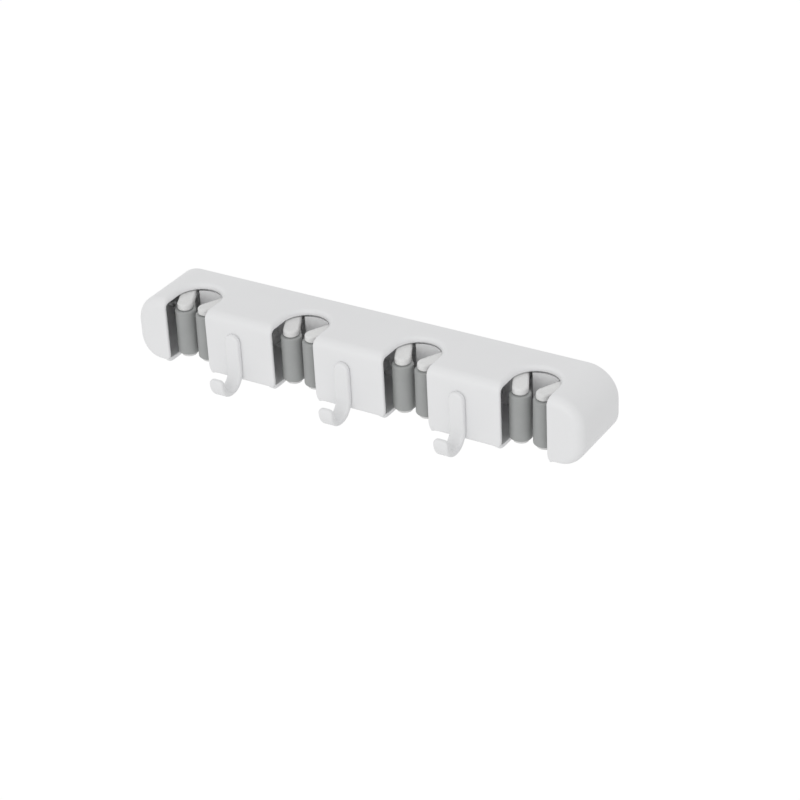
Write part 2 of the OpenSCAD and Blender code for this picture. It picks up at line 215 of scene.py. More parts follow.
class Finishes(bpy.types.PropertyGroup):
    """Colours and gloss of the materials."""

    white: colour("White plastic", "Colour of the cover and hooks", (0.85, 0.853, 0.86))
    # The back moulding is lighter than the cover's white. This is painted light that stands in for the
    # light the cradles inside the slots lack.
    base_white_painted_light: colour("Base plastic", "Colour of the back moulding", (0.92, 0.92, 0.925))
    arm_white: colour("Arm plastic", "Colour of the swing arms", (0.78, 0.78, 0.775))
    rubber: colour("Rubber", "Colour of the roller sleeves", (0.372, 0.381, 0.377))
    steel: colour("Steel", "Colour of pins, springs and screws", (0.56, 0.56, 0.58))
    satin: share("Satin", "Roughness of the moulded plastic", 0.42)
    rubber_rough: share("Rubber roughness", "Roughness of the sleeves", 0.45)
    mottle: share("Arm mottling", "Share of fine flecks in the colour of the arms", 0.45)


# Curves and grids


def ease(start, end, value):
    """Smooth step from 0 at start to 1 at end: 3t^2 - 2t^3."""
    t = np.clip((value - start) / (end - start), 0, 1)
    return t * t * (3 - 2 * t)


def c_path(along, first, low, rise, high):
    """Path of three straight runs joined by two quarter circles, like a letter C.

    It runs `first` outwards, turns up on the radius `low`, climbs `rise`, turns back on the radius
    `high` and returns. Gives how far out and up each length along it lies, and its turn there; its
    outer normal is (sin turn, -cos turn).
    """
    low_end = first + low * QUARTER
    high_start = low_end + rise
    low_turn = np.clip((along - first) / low, 0, QUARTER)
    high_turn = np.clip((along - high_start) / high, 0, QUARTER)
    back = np.clip(along - high_start - high * QUARTER, 0, None)
    out = np.clip(along, 0, first) + low * np.sin(low_turn) - high * (1 - np.cos(high_turn)) - back
    up = low * (1 - np.cos(low_turn)) + np.clip(along - low_end, 0, rise) + high * np.sin(high_turn)
    return out, up, low_turn + high_turn


def hull_outline(circles, arc_steps, run_steps):
    """Closed outline stretched round circles (across, along, radius), given anticlockwise.

    Two neighbours touch one tangent, whose normal n keeps centre.n + radius equal on both. Gives the
    centre, radius and normal at each sample; an inset a is centre + (radius - a) n.
    """
    discs = np.array(circles, float)
    ahead = np.roll(discs, -1, axis=0)
    gap = ahead[:, :2] - discs[:, :2]
    reach = np.hypot(gap[:, 0], gap[:, 1])
    tangent = np.arctan2(gap[:, 1], gap[:, 0]) - np.arccos((discs[:, 2] - ahead[:, 2]) / reach)
    before = np.roll(tangent, 1)
    swing = (tangent - before) % (2 * math.pi)
    samples = []
    for disc, following, start, turn in zip(discs, ahead, before, swing):
        angle = start + turn * np.linspace(0, 1, arc_steps)
        samples.append(np.column_stack([np.tile(disc, (arc_steps, 1)), angle]))
        run = disc + (following - disc) * np.linspace(0, 1, run_steps + 2)[1:-1, None]
        samples.append(np.column_stack([run, np.full(run_steps, start + turn)]))
    path = np.concatenate(samples)
    normal = np.stack([np.cos(path[:, 3]), np.sin(path[:, 3])], 1)
    return path[:, :2], path[:, 2], normal


def plate(outline, thick, edge_under, edge_over, steps=5):
    """Plate with rounded edges on an outline whose axis runs along its second coordinate.

    Each face shrinks from its rounded rim to the axis, and the rim is a quarter circle, a straight
    side and a quarter circle. Gives the arrays across, along and depth.
    """
    centre, radius, normal = outline
    columns = []

    def face(edge, depth, scale):
        border = centre + (radius - edge)[:, None] * normal
        along = centre[:, 1] + scale * (border[:, 1] - centre[:, 1])
        columns.append((scale * border[:, 0], along, np.full(len(along), depth)))

    def rim(inset, depth):
        point = centre + (radius - inset)[:, None] * normal
        columns.append((point[:, 0], point[:, 1], depth))

    under = np.broadcast_to(edge_under, radius.shape)
    over = np.broadcast_to(edge_over, radius.shape)
    for scale in np.linspace(0, 1, steps)[:-1]:
        face(under, 0.0, scale)
    for turn in np.linspace(0, QUARTER, steps + 1):
        rim(under * (1 - np.sin(turn)), under * (1 - np.cos(turn)))
    for turn in np.linspace(0, QUARTER, steps + 1):
        rim(over * (1 - np.cos(turn)), thick - over * (1 - np.sin(turn)))
    for scale in np.linspace(1, 0, steps)[1:]:
        face(over, thick, scale)
    return tuple(np.stack(parts, 1) for parts in zip(*columns))


def turned(profile, centre, axis=2, steps=72):
    """Body turned round an axis through centre: each (radius, height) pair becomes a circle."""
    radius, height = np.array(profile, float).T
    angle = np.linspace(0, 2 * math.pi, steps, endpoint=False)[:, None]
    parts = [radius * np.cos(angle), radius * np.sin(angle), np.broadcast_to(height, (steps, len(height)))]
    order = {2: (0, 1, 2), 1: (1, 2, 0)}[axis]
    return np.stack([parts[k] for k in order], -1) + np.array(centre)


def pin_profile(radius, low, high, chamfer, crown):
    """Half section of a pin: chamfered ends, domed as a parabola that is 3/4 up at half the radius."""
    half, rise = radius / 2, crown * 3 / 4
    return [
        (0, low - crown), (half, low - rise), (radius - chamfer, low), (radius, low + chamfer),
        (radius, high - chamfer), (radius - chamfer, high), (half, high + rise), (0, high + crown),
    ]


def tube(path, radius, sides=12):
    """Round tube along points that never run straight up, with flat ends."""
    ahead = np.gradient(path, axis=0)
    ahead /= np.linalg.norm(ahead, axis=1)[:, None]
    side = np.cross(ahead, (0, 0, 1))
    side /= np.linalg.norm(side, axis=1)[:, None]
    over = np.cross(side, ahead)
    angle = np.linspace(0, 2 * math.pi, sides, endpoint=False)
    ring = np.cos(angle)[None, :, None] * side[:, None] + np.sin(angle)[None, :, None] * over[:, None]
    rings = path[:, None] + radius * ring
    ends = [np.repeat(path[k][None, None], sides, axis=1) for k in (0, -1)]
    return np.concatenate([ends[0], rings, ends[1]]).transpose(1, 0, 2)


class Grid:
    """Quads over an array of points: closed along u if asked, and along v where shut says so."""

    def __init__(self, points, loop=True, shut=None):
        self.points = points
        rows, columns = points.shape[:2]
        number = np.arange(rows * columns).reshape(rows, columns)
        following = np.roll(number, -1, axis=0)
        if not loop:
            number, following = number[:-1], following[:-1]
        quads = [number[:, :-1], following[:, :-1], following[:, 1:], number[:, 1:]]
        self.quads = np.stack(quads, -1).reshape(-1, 4)
        if shut is not None:
            rim = [number[shut, -1], following[shut, -1], following[shut, 0], number[shut, 0]]
            self.quads = np.concatenate([self.quads, np.stack(rim, -1)])


def weld(mesh, distance, outwards):
    """Merges the doubles of a mesh and turns its faces outwards if asked."""
    shape = bmesh.new()
    shape.from_mesh(mesh)
    bmesh.ops.remove_doubles(shape, verts=shape.verts, dist=distance)
    if outwards:
        bmesh.ops.recalc_face_normals(shape, faces=shape.faces)
    shape.to_mesh(mesh)
    shape.free()


def add(name, data):
    """New object of the scene that shows a mesh, a lamp or a camera."""
    made = bpy.data.objects.new(name, data)
    bpy.context.scene.collection.objects.link(made)
    return made


def build(name, grids, body, slot, *nodes):
    """Joins grids into one mesh, welds its seams, turns its faces outwards and settles it as a piece."""
    offsets = np.cumsum([0] + [grid.points.shape[0] * grid.points.shape[1] for grid in grids])
    points = np.concatenate([grid.points.reshape(-1, 3) for grid in grids])
    quads = np.concatenate([grid.quads + offset for grid, offset in zip(grids, offsets)])
    mesh = bpy.data.meshes.new(name)
    mesh.from_pydata(points.tolist(), [], quads.tolist())
    weld(mesh, WELD, outwards=True)
    return settle(add(name, mesh), body, slot, *nodes)


def settle(piece, body, slot, *nodes):
    """Shades a piece, gives it its finish and puts it in place of its CAD nodes.

    It rides on its body when it has one.
    """
    mesh = piece.data
    mesh.shade_smooth()
    mesh.set_sharp_from_angle(angle=CREASE)
    mesh.materials.clear()
    mesh.materials.append(finish_of(slot))
    weighted = piece.modifiers.new("Even faces", "WEIGHTED_NORMAL")
    weighted.keep_sharp = True
    if body:
        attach(piece, body)
    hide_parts(*nodes)
    return piece


class Step:
    """What the operators share: each makes its own pieces in the scene."""

    def execute(self, context):
        self.make(context.scene)
        return {"FINISHED"}


# Shader expressions and materials


class Wire:
    """A shader socket in an expression: an operator on it adds a Math node."""

    def __init__(self, tree, socket=None):
        self.tree = tree
        self.socket = socket

    def node(self, kind, settings=None, inputs=None, output=0):
        """Adds a node of that kind: its settings first, then the values or links of its sockets."""
        made = self.tree.nodes.new(kind)
        for key, value in (settings or {}).items():
            setattr(made, key, value)
        for key, value in (inputs or {}).items():
            if isinstance(value, Wire):
                self.tree.links.new(value.socket, made.inputs[key])
            else:
                made.inputs[key].default_value = value
        return Wire(self.tree, made.outputs[output])

    def math(self, operation, first, second):
        """One Math node on two values."""
        return self.node("ShaderNodeMath", {"operation": operation}, {0: first, 1: second})

    def __add__(self, other):
        return self.math("ADD", self, other)

    __radd__ = __add__

    def __sub__(self, other):
        return self.math("SUBTRACT", self, other)

    def __mul__(self, other):
        return self.math("MULTIPLY", self, other)

    __rmul__ = __mul__

    def place(self):
        """Object coordinates."""
        return self.node("ShaderNodeTexCoord", output="Object")

    def noise(self, place, scale, detail=3.0, rough=0.5):
        """Noise of about 0.5 on average at points of a place."""
        inputs = {"Vector": place, "Scale": scale, "Detail": detail, "Roughness": rough}
        return self.node("ShaderNodeTexNoise", None, inputs)

    def blend(self, factor, first, second):
        """Mix of two colours."""
        settings = {"data_type": "RGBA"}
        return self.node("ShaderNodeMix", settings, {0: factor, 6: first, 7: second}, output=2)


def shade(tone, factor):
    """A colour made lighter or darker, with full alpha."""
    return tuple(min(1.0, part * factor) for part in tone) + (1.0,)


def surface(name):
    """New material: itself, its start for expressions and its Principled node."""
    material = bpy.data.materials.new(name)
    material.use_nodes = True
    return material, Wire(material.node_tree), material.node_tree.nodes["Principled BSDF"]


def feed(start, shader, **links):
    """Links expressions to the shader's sockets by name."""
    for name, wire in links.items():
        start.tree.links.new(wire.socket, shader.inputs[name.replace("_", " ")])


def bump(start, height, strength, distance):
    """Normal bent by a height map."""
    inputs = {"Height": height, "Strength": strength, "Distance": distance}
    return start.node("ShaderNodeBump", None, inputs)


def moulded_plastic(name, tone, rough, mottle=0.0):
    """Satin moulded plastic: faint clouds and fine flecks of colour, a spark texture and patchy gloss."""
    material, start, shader = surface(name)
    place = start.place()
    clouds = start.noise(place, scale=22.0, detail=2.0)
    flecks = start.noise(place, scale=750.0, rough=0.7)
    patches = clouds + (flecks - clouds) * mottle
    spread = 0.022 + 0.45 * mottle
    spark = start.noise(place, scale=2600.0, detail=2.0, rough=0.6)
    waves = start.noise(place, scale=60.0, detail=1.0)
    relief = spark * 0.6 + waves * 0.4
    feed(
        start, shader,
        Base_Color=start.blend(patches, shade(tone, 1 - spread), shade(tone, 1 + spread)),
        Roughness=rough - 0.05 + 0.06 * clouds + 0.05 * spark,
        Normal=bump(start, relief, strength=0.12, distance=0.06 * MM),
    )
    shader.inputs["IOR"].default_value = 1.5
    return material


def moulded_rubber(name, tone, rough):
    """Matt rubber: fine grain, a dusty bloom in patches and a soft sheen."""
    material, start, shader = surface(name)
    place = start.place()
    grain = start.noise(place, scale=1900.0, detail=4.0, rough=0.65)
    bloom = start.noise(place, scale=120.0)
    feed(
        start, shader,
        Base_Color=start.blend(grain * 0.5 + bloom * 0.5, shade(tone, 0.86), shade(tone, 1.14)),
        Roughness=rough - 0.06 + 0.12 * bloom,
        Normal=bump(start, grain, strength=0.35, distance=0.1 * MM),
    )
    shader.inputs["IOR"].default_value = 1.45
    return material


def drawn_steel(name, tone, stretch):
    """Drawn steel: fine lines along the piece, from noise squeezed across it."""
    material, start, shader = surface(name)
    place = start.place()
    squeezed = start.node("ShaderNodeMapping", None, {"Vector": place, "Scale": stretch})
    lines = start.noise(squeezed, scale=900.0, rough=0.6)
    spots = start.noise(place, scale=260.0, detail=2.0)
    feed(
        start, shader,
        Base_Color=start.blend(spots, shade(tone, 0.85), shade(tone, 1.1)),
        Roughness=0.26 + 0.16 * lines,
        Normal=bump(start, lines, strength=0.2, distance=0.03 * MM),
    )
    shader.inputs["Metallic"].default_value = 1.0
    return material


def finish_of(key):
    """Material for a kind of piece, made once."""
    name = f"{key}_finish"
    tones = bpy.context.scene.rack_finishes
    makers = {
        "cover_plastic": (moulded_plastic, tones.white, tones.satin),
        # The base's lighter white is painted light for the shaded cradles.
        "base_plastic": (moulded_plastic, tones.base_white_painted_light, tones.satin + 0.06),
        "hook_plastic": (moulded_plastic, tones.white, tones.satin),
        "arm_plastic": (moulded_plastic, tones.arm_white, tones.satin, tones.mottle),
        "core_plastic": (moulded_plastic, tones.arm_white, tones.satin + 0.1),
        "roller_rubber": (moulded_rubber, tones.rubber, tones.rubber_rough),
        "pin_steel": (drawn_steel, tones.steel, (1, 1, 0.04)),
        "spring_steel": (drawn_steel, tones.steel, (0.2, 0.2, 1)),
        "screw_steel": (drawn_steel, tones.steel, (1, 0.1, 1)),
    }
    maker, *looks = makers[key]
    return bpy.data.materials.get(name) or maker(name, *looks)


# Cover and base


class Sheet:
    """The cover as one sheet bent round a C section, from the wall along the underside, front and top."""

    CELL_RAYS = 9
    BACK_RAYS = 25
    STRAIGHT_ROWS = 12
    ROUND_ROWS = 11
    FRONT_ROWS = 65
    ROLL_STEPS = 10
    EDGE_STEPS = 4
    SKIN_SHARES = (1, 0.62, 0.36, 0.18, 0.07, 0.02, 0)
    FRONT_SHARES = (0.02, 0.1, 0.3, 0.6, 1)
    CORNER_REACH = 1.6

    def __init__(self, size):
        self.size = size
        self.first = size.depth - size.front_low
        self.low_end = self.first + size.front_low * QUARTER
        self.rise = 2 * size.half_height - size.front_low - size.front_top
        self.high_start = self.low_end + self.rise
        self.high_end = self.high_start + size.front_top * QUARTER
        self.total = self.high_end + size.depth - size.front_top
        self.slot_back = size.depth - size.slot_centre
        self.top_centre = self.total - self.slot_back
        self.radius = size.slot_width / 2
        self.rows = np.concatenate([
            np.linspace(self.slot_back, self.first, self.STRAIGHT_ROWS)[:-1],
            np.linspace(self.first, self.low_end, self.ROUND_ROWS)[:-1],
            np.linspace(self.low_end, self.high_start, self.FRONT_ROWS)[:-1],
            np.linspace(self.high_start, self.high_end, self.ROUND_ROWS)[:-1],
            np.linspace(self.high_end, self.top_centre, self.STRAIGHT_ROWS),
        ])

    def place(self, x, along, depth):
        """Point at x along the rack and a length along the section, at a depth under the skin."""
        size = self.size
        out, up, turn = c_path(along, self.first, size.front_low, self.rise, size.front_top)
        y = depth * np.sin(turn) - out
        z = up - size.half_height + depth * np.cos(turn)
        return np.stack([np.broadcast_to(x, y.shape), y, z], -1)

    def style(self, along):
        """Rounding of a slot's edge, depth of its lip and height of its bead, along the section."""
        size = self.size
        to_front = ease(self.first, self.low_end, along)
        to_top = ease(self.high_start, self.high_end, along)
        rounding = size.low_round + (size.mouth_round - size.low_round) * to_front
        rounding = rounding + (size.lip_round - size.mouth_round) * to_top
        drop = size.wall + (size.lip_drop - size.wall) * to_top
        return rounding, drop, size.low_bead * (1 - to_front)

    def corner(self, along):
        """How far a slot's edge swings outwards where the front folds under.

        Seen along the sheet it is a quarter ellipse on each side of the fold's middle, which runs out
        CORNER_REACH times its height past the fold.
        """
        corner = self.size.mouth_corner
        half_fold = (self.low_end - self.first) / 2
        away = np.abs(along - self.first - half_fold) / (half_fold + self.CORNER_REACH * corner)
        return corner * (1 - np.sqrt(1 - np.clip(1 - away, 0, 1) ** 2))

    def cell(self, x, left, right):
        """Sheet round one slot, out to `left` and `right` of its middle.

        In the flat sheet a slot is a long hole with round ends. Rows cross its straight sides, rays
        leave its round ends, and the lip's profile runs along each of them: skin, rolled edge, lip,
        inner skin.
        """
        corner_right = math.atan2(self.slot_back, right)
        corner_left = math.pi - math.atan2(self.slot_back, left)
        angle = np.concatenate([
            np.linspace(0, corner_right, self.CELL_RAYS)[1:],
            np.linspace(corner_right, corner_left, self.BACK_RAYS)[1:],
            np.linspace(corner_left, math.pi, self.CELL_RAYS)[1:-1],
        ])
        back = (angle > corner_right - TINY) & (angle < corner_left + TINY)
        rows = len(self.rows)
        zero = np.zeros(rows, bool)
        aim = np.concatenate([np.zeros(rows), angle, np.full(rows, math.pi), 2 * math.pi - angle[::-1]])
        top = np.full(len(angle), self.top_centre)
        low = np.full(len(angle), self.slot_back)
        start = np.concatenate([self.rows, top, self.rows[::-1], low])
        style_at = np.concatenate([self.rows, top + self.slot_back, self.rows[::-1], low * 0])
        wall_side = np.concatenate([zero, back, zero, back[::-1]])
        cos, sin = np.cos(aim), np.sin(aim)
        sideways = np.where(cos > 0, right, left) / np.maximum(np.abs(cos), TINY)
        reach = np.minimum(sideways, self.slot_back / np.maximum(np.abs(sin), TINY))
        edge = self.radius + self.corner(style_at)
        columns = self.profile(reach - edge, *self.style(style_at))
        offset = edge[:, None] + np.stack([column[0] for column in columns], 1)
        depth = np.stack([np.broadcast_to(column[1], reach.shape) for column in columns], 1)
        points = self.place(x + cos[:, None] * offset, start[:, None] + sin[:, None] * offset, depth)
        return Grid(points, shut=wall_side & np.roll(wall_side, -1))

    def profile(self, span, rounding, drop, bead):
        """Distance from a slot's edge and depth under the skin, from a cell's rim round the lip and back.

        The skin swells by the bead as it nears the edge. The rolled edge is an arc that starts level with
        the skin and ends at the lip's side, or at the inner skin where the wall is thinner than that.
        """
        size = self.size
        edge = size.edge
        arc = np.arccos(np.clip(1 - (drop + bead - edge) / rounding, 0, 1))
        start = rounding * np.sin(arc)
        far = [start + (span - start) * part for part in self.SKIN_SHARES]
        runout = np.minimum(size.bead_width, span)
        columns = [(offset, bead * (ease(start, runout, offset) - 1)) for offset in far]
        for part in np.linspace(0, 1, self.ROLL_STEPS)[1:]:
            roll = arc * part
            columns.append((start - rounding * np.sin(roll), rounding * (1 - np.cos(roll)) - bead))
        for turn in np.linspace(0, QUARTER, self.EDGE_STEPS):
            columns.append((0 * span + edge * (1 - math.cos(turn)), drop - edge * (1 - math.sin(turn))))
        for turn in np.linspace(0, QUARTER, self.EDGE_STEPS):
            under = np.maximum(drop - edge * (1 - math.cos(turn)), size.wall)
            columns.append((0 * span + size.lip_wall - edge * (1 - math.sin(turn)), under))
        columns.append((0 * span + size.lip_wall, size.wall))
        for part in self.SKIN_SHARES[-2::-1]:
            columns.append((size.lip_wall + (span - size.lip_wall) * part, size.wall))
        return columns

    def end_cap(self, sign, x_join):
        """End of the cover, from the sheet's last cell round the outline of the end.

        Each sample of the end's outline, a C path seen from the front, carries one profile: along the
        wall, round the front edge and across the front to the join. The inner skin lies a wall
        thickness behind it along the normal.
        """
        size = self.size
        rays = np.linspace(0, math.atan2(self.slot_back, x_join[1]), self.CELL_RAYS)
        hits = self.slot_back - x_join[1] * np.tan(rays[::-1])
        low_rows = self.rows[(self.rows > self.slot_back) & (self.rows < self.low_end + TINY)]
        top_rows = self.total - self.rows[self.rows > self.high_start - TINY][::-1]
        low_along = np.concatenate([hits, low_rows])
        top_along = np.concatenate([hits, top_rows[1:]])
        run_low = np.clip(low_along / self.first, 0, 1)
        run_top = np.clip(top_along / (size.depth - size.front_top), 0, 1)
        turn_low = np.clip((low_along - self.first) / size.front_low, 0, QUARTER)
        turn_top = np.clip((top_along - size.depth + size.front_top) / size.front_top, 0, QUARTER)
        first = size.half_length - size.corner_low - x_join[0]
        rise = 2 * size.half_height - size.corner_low - size.corner_top
        last = size.half_length - size.corner_top - x_join[0]
        low_end = first + size.corner_low * QUARTER
        high_start = low_end + rise
        around = high_start + size.corner_top * QUARTER + last
        mix = np.linspace(0, 1, self.FRONT_ROWS)[:, None]
        along = mix * around
        out, up, turn = c_path(along, first, size.corner_low, rise, size.corner_top)
        to_end = ease(0, low_end, along)
        to_top = ease(high_start, around, along)
        rounding = size.front_low + (size.front_end - size.front_low) * to_end
        rounding = rounding + (size.front_top - size.front_end) * to_top
        run = run_low * (1 - mix) + run_top * mix
        tilt = turn_low * (1 - mix) + turn_top * mix
        inset = rounding * (1 - np.cos(tilt))
        skin = np.stack([
            out - inset * np.sin(turn),
            -run * (size.depth - rounding) - rounding * np.sin(tilt),
            up + inset * np.cos(turn),
        ], -1)
        normal = np.stack([np.cos(tilt) * np.sin(turn), -np.sin(tilt), -np.cos(tilt) * np.cos(turn)], -1)
        join = np.zeros((self.FRONT_ROWS, 1, 3))
        join[:, 0, 1] = -size.depth
        join[:, :, 2] = size.front_low + mix * self.rise
        across = np.array(self.FRONT_SHARES)[None, :, None]
        front = skin[:, -1:] + (join - skin[:, -1:]) * across
        skin = np.concatenate([skin, front], 1)
        normal = np.concatenate([normal, np.broadcast_to((0.0, -1.0, 0.0), front.shape)], 1)
        both = np.concatenate([skin[:, ::-1], skin - size.wall * normal], 1)
        both = both + np.array([x_join[0], 0, -size.half_height])
        return Grid(both * np.array([sign, 1, 1]), loop=False)


def rib_grid(start, end, low, high, thick):
    """Flat rib along X from start to end, from low to high along Y, with closed ends."""
    half = thick / 2
    section = np.array([(low, -half), (high, -half), (high, half), (low, half)])
    middle = np.broadcast_to(section.mean(axis=0), section.shape)
    stations = ((start, middle), (start, section), (end, section), (end, middle))
    return Grid(np.stack([np.column_stack([np.full(4, x), part]) for x, part in stations], 1))


def cover_posts(size):
    """Screw posts inside the cover: behind each block, and one at each end on its rib."""
    radius = size.post / 2
    chamfer = 0.3 * MM
    bore = radius * 0.42
    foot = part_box("base")[1].y - size.pad
    bore_end = foot - size.bore_depth
    front = size.wall / 2 - size.depth
    grids = []
    for number, (x, z) in enumerate(screw_places(size), 1):
        at_end = number >= len(SLOTS)
        start = foot - size.end_post_depth if at_end else front
        profile = [
            (0, start), (radius, start), (radius, foot - chamfer), (radius - chamfer, foot),
            (bore, foot), (bore, bore_end), (0, bore_end),
        ]
        grids.append(Grid(turned(profile, (x, 0, z), axis=1, steps=40)))
        if at_end:
            wall_x = math.copysign(size.half_length - size.wall / 2, x)
            grids.append(rib_grid(x + math.copysign(radius / 2, x), wall_x, start, foot, size.wall))
    return grids


class RACK_OT_cover(Step, bpy.types.Operator):
    """Moulded cover with four lipped slots"""

    bl_idname = "rack.cover"
    bl_label = "Cover"

    def make(self, scene):
        size = scene.rack_cover
        sheet = Sheet(size)
        half_pitch = (slot_middle(2) - slot_middle(1)) / 2
        flat_rim = 0.5 * MM
        outer = sheet.radius + size.lip_round + flat_rim
        x_join = (slot_middle(SLOTS[-1]) + outer, outer)
        grids = [sheet.end_cap(sign, x_join) for sign in (-1, 1)]
        for slot in SLOTS:
            left = outer if slot == SLOTS[0] else half_pitch
            right = outer if slot == SLOTS[-1] else half_pitch
            grids.append(sheet.cell(slot_middle(slot), left, right))
        grids += cover_posts(size)
        build("cover_shell", grids, RACK, "cover_plastic", "cover")

class RACK_OT_base(Step, bpy.types.Operator):
    """Back moulding with its cradles and lugs: the CAD shape, with smooth cradles and crisp edges"""

    bl_idname = "rack.base"
    bl_label = "Base"

    def make(self, scene):
        mesh = frame["nodes"]["base"].data.copy()
        mesh.name = "base_moulding"
        weld(mesh, WELD / 2, outwards=False)
        settle(add(mesh.name, mesh), RACK, "base_plastic", "base")

# Screws


def screw_places(cover):
    """Places (x, z) of the cover screws: one behind each block and one at each end."""
    end_x = cover.half_length - cover.wall - cover.post
    block_x = [(slot_middle(slot) + slot_middle(slot + 1)) / 2 for slot in SLOTS[:-1]]
    return [(x, -cover.post_low) for x in block_x] + [(-end_x, 0.0), (end_x, 0.0)]


def screw_grid(size, x, z):
    """One pan-head screw along Y.

    Its half section is turned, with a thread as a wave that climbs one pitch in a turn, and a cross recess
    as two crossing grooves that fade at their ends.
    """
    top, tip = SCREW_HIGH.y, SCREW_LOW.y
    seat = top - size.head_height
    core = size.shank / 2 - size.thread
    head_r = size.head / 2
    soft = size.head_height * 0.4
    crown = soft * 0.25
    dome = np.linspace(0, 1, 30)
    rim = np.linspace(0, QUARTER, 6)[1:]
    shank = np.linspace(0, 1, 90)
    radius = np.concatenate([
        (head_r - soft) * dome, head_r - soft * (1 - np.sin(rim)), [head_r, core],
        core + 0 * shank, [core * 0.6, 0],
    ])
    height = np.concatenate([
        top - crown * dome ** 2, top - crown - (soft - crown) * (1 - np.cos(rim)), [seat, seat],
        seat + (tip + core - seat) * shank, [tip + core * 0.4, tip],
    ])
    threaded = np.zeros(len(radius))
    threaded[-2 - len(shank):-2] = ease(0, 0.1, shank) * (1 - ease(0.9, 1, shank))
    angle = np.linspace(0, 2 * math.pi, 96, endpoint=False)[:, None]
    wave = 0.5 + 0.5 * np.cos(2 * math.pi * height / size.pitch - angle)
    outward = radius + size.thread * threaded * wave
    across, over = outward * np.cos(angle), outward * np.sin(angle)
    half = size.recess / 2
    grooves = []
    for side, run in ((across, over), (over, across)):
        flank = ease(half * 0.8, half * 1.3, np.abs(side))
        end = ease(head_r * 0.5, head_r * 0.68, np.abs(run))
        grooves.append((1 - flank) * (1 - end))
    on_dome = np.arange(len(radius)) < len(dome)
    recess_depth = size.recess * 1.1
    y = height - on_dome * recess_depth * np.maximum(*grooves)
    return Grid(np.stack([x + across, y, z + over], -1))


class RACK_OT_screws(Step, bpy.types.Operator):
    """Screws that hold the cover on the base, driven from the back"""

    bl_idname = "rack.screws"
    bl_label = "Screws"

    def make(self, scene):
        grids = [screw_grid(scene.rack_screws, x, z) for x, z in screw_places(scene.rack_cover)]
        build("cover_screw_set", grids, RACK, "screw_steel", "cover_screws")

# Hooks


def hook_grids(size, cover, middle):
    """One hook: a plate with round edges that follows a C path down, forward and up, and its two pegs."""
    half = (HOOK_HIGH.x - HOOK_LOW.x) / 2
    reach = -cover.depth - HOOK_LOW.y
    top, low = HOOK_HIGH.z, HOOK_LOW.z
    first = top - low - size.curl_back
    flat = reach - size.curl_back - size.curl_tip
    total = first + (size.curl_back + size.curl_tip) * QUARTER + flat + size.tip_top - size.curl_tip
    fade = 3 * MM

    def on_body(along):
        """1 on the strip, 0 on the curl."""
        return 1 - ease(first - fade, first + fade, along)

    corner = half - size.tip_round
    circles = [
        (0, half, half),
        (corner, total - size.tip_round, size.tip_round),
        (-corner, total - size.tip_round, size.tip_round),
    ]
    outline = hull_outline(circles, 20, 60)
    under = size.edge + (size.back_edge - size.edge) * on_body(outline[0][:, 1])
    across, along, depth = plate(outline, size.thick, under, size.edge, steps=7)
    gap = size.shadow_gap * on_body(along)
    depth = gap + depth * (1 - gap / size.thick)
    out, up, turn = c_path(along, first, size.curl_back, flat, size.curl_tip)
    y = -cover.depth - up - depth * np.cos(turn)
    z = top - out + depth * np.sin(turn)
    grids = [Grid(np.stack([middle + across, y, z], -1))]
    peg_r = size.peg / 2
    front = -cover.depth - size.thick / 2
    peg = pin_profile(peg_r, front, HOOK_HIGH.y, chamfer=0.3 * MM, crown=0.0)
    for peg_z in (top - half + peg_r, -cover.post_low + cover.post / 2 + size.peg):
        grids.append(Grid(turned(peg, (middle, 0, peg_z), axis=1)))
    return grids


class RACK_OT_hooks(Step, bpy.types.Operator):
    """Three J hooks on the front"""

    bl_idname = "rack.hooks"
    bl_label = "Hooks"

    def make(self, scene):
        for number in range(1, len(SLOTS)):
            node = f"hook_{number}"
            low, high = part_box(node)
            grids = hook_grids(scene.rack_hooks, scene.rack_cover, (low.x + high.x) / 2)
            build(f"{node}_strip", grids, RACK, "hook_plastic", node)

# Grips


def build_in_grips(kind, word, shapes, carrier, slot_name):
    """Builds one piece on each side of each grip from right-hand points, and gives the list of them.

    A left-hand piece is the mirror image. Its carrier is the rack, the first words of the body in its
    own grip, or None.
    """
    pieces = []
    for slot, side in GRIPS:
        node = f"{kind}_{slot}_{side}"
        mirror = np.array([1 if side == "right" else -1, 1, 1])
        shift = np.array([slot_middle(slot), 0, 0])
        grids = [Grid(points * mirror + shift) for points in shapes]
        body = carrier if carrier in (None, RACK) else f"{carrier}_{slot}_{side}"
        pieces.append(build(f"{node}_{word}", grids, body, slot_name, node))
    return pieces


def axis_of(joint):
    """Place of a right-hand joint's upright axis, from the middle of its grip."""
    x, y, _ = JOINTS[f"{joint}_1_right"]["pos_m"]
    return np.array([x - slot_middle(1), y, 0])


PIVOT = axis_of("arm_swing")
ROLLER = axis_of("roller_spin")
REACH = np.linalg.norm(ROLLER - PIVOT)
AHEAD = (ROLLER - PIVOT) / REACH


def on_arm(across, along, height):
    """Points given along the arm's own axis, from the pivot to the roller, in the grip."""
    side = np.array([-AHEAD[1], AHEAD[0], 0])
    flat = PIVOT + along[..., None] * AHEAD + across[..., None] * side
    return flat + height[..., None] * np.array([0, 0, 1])


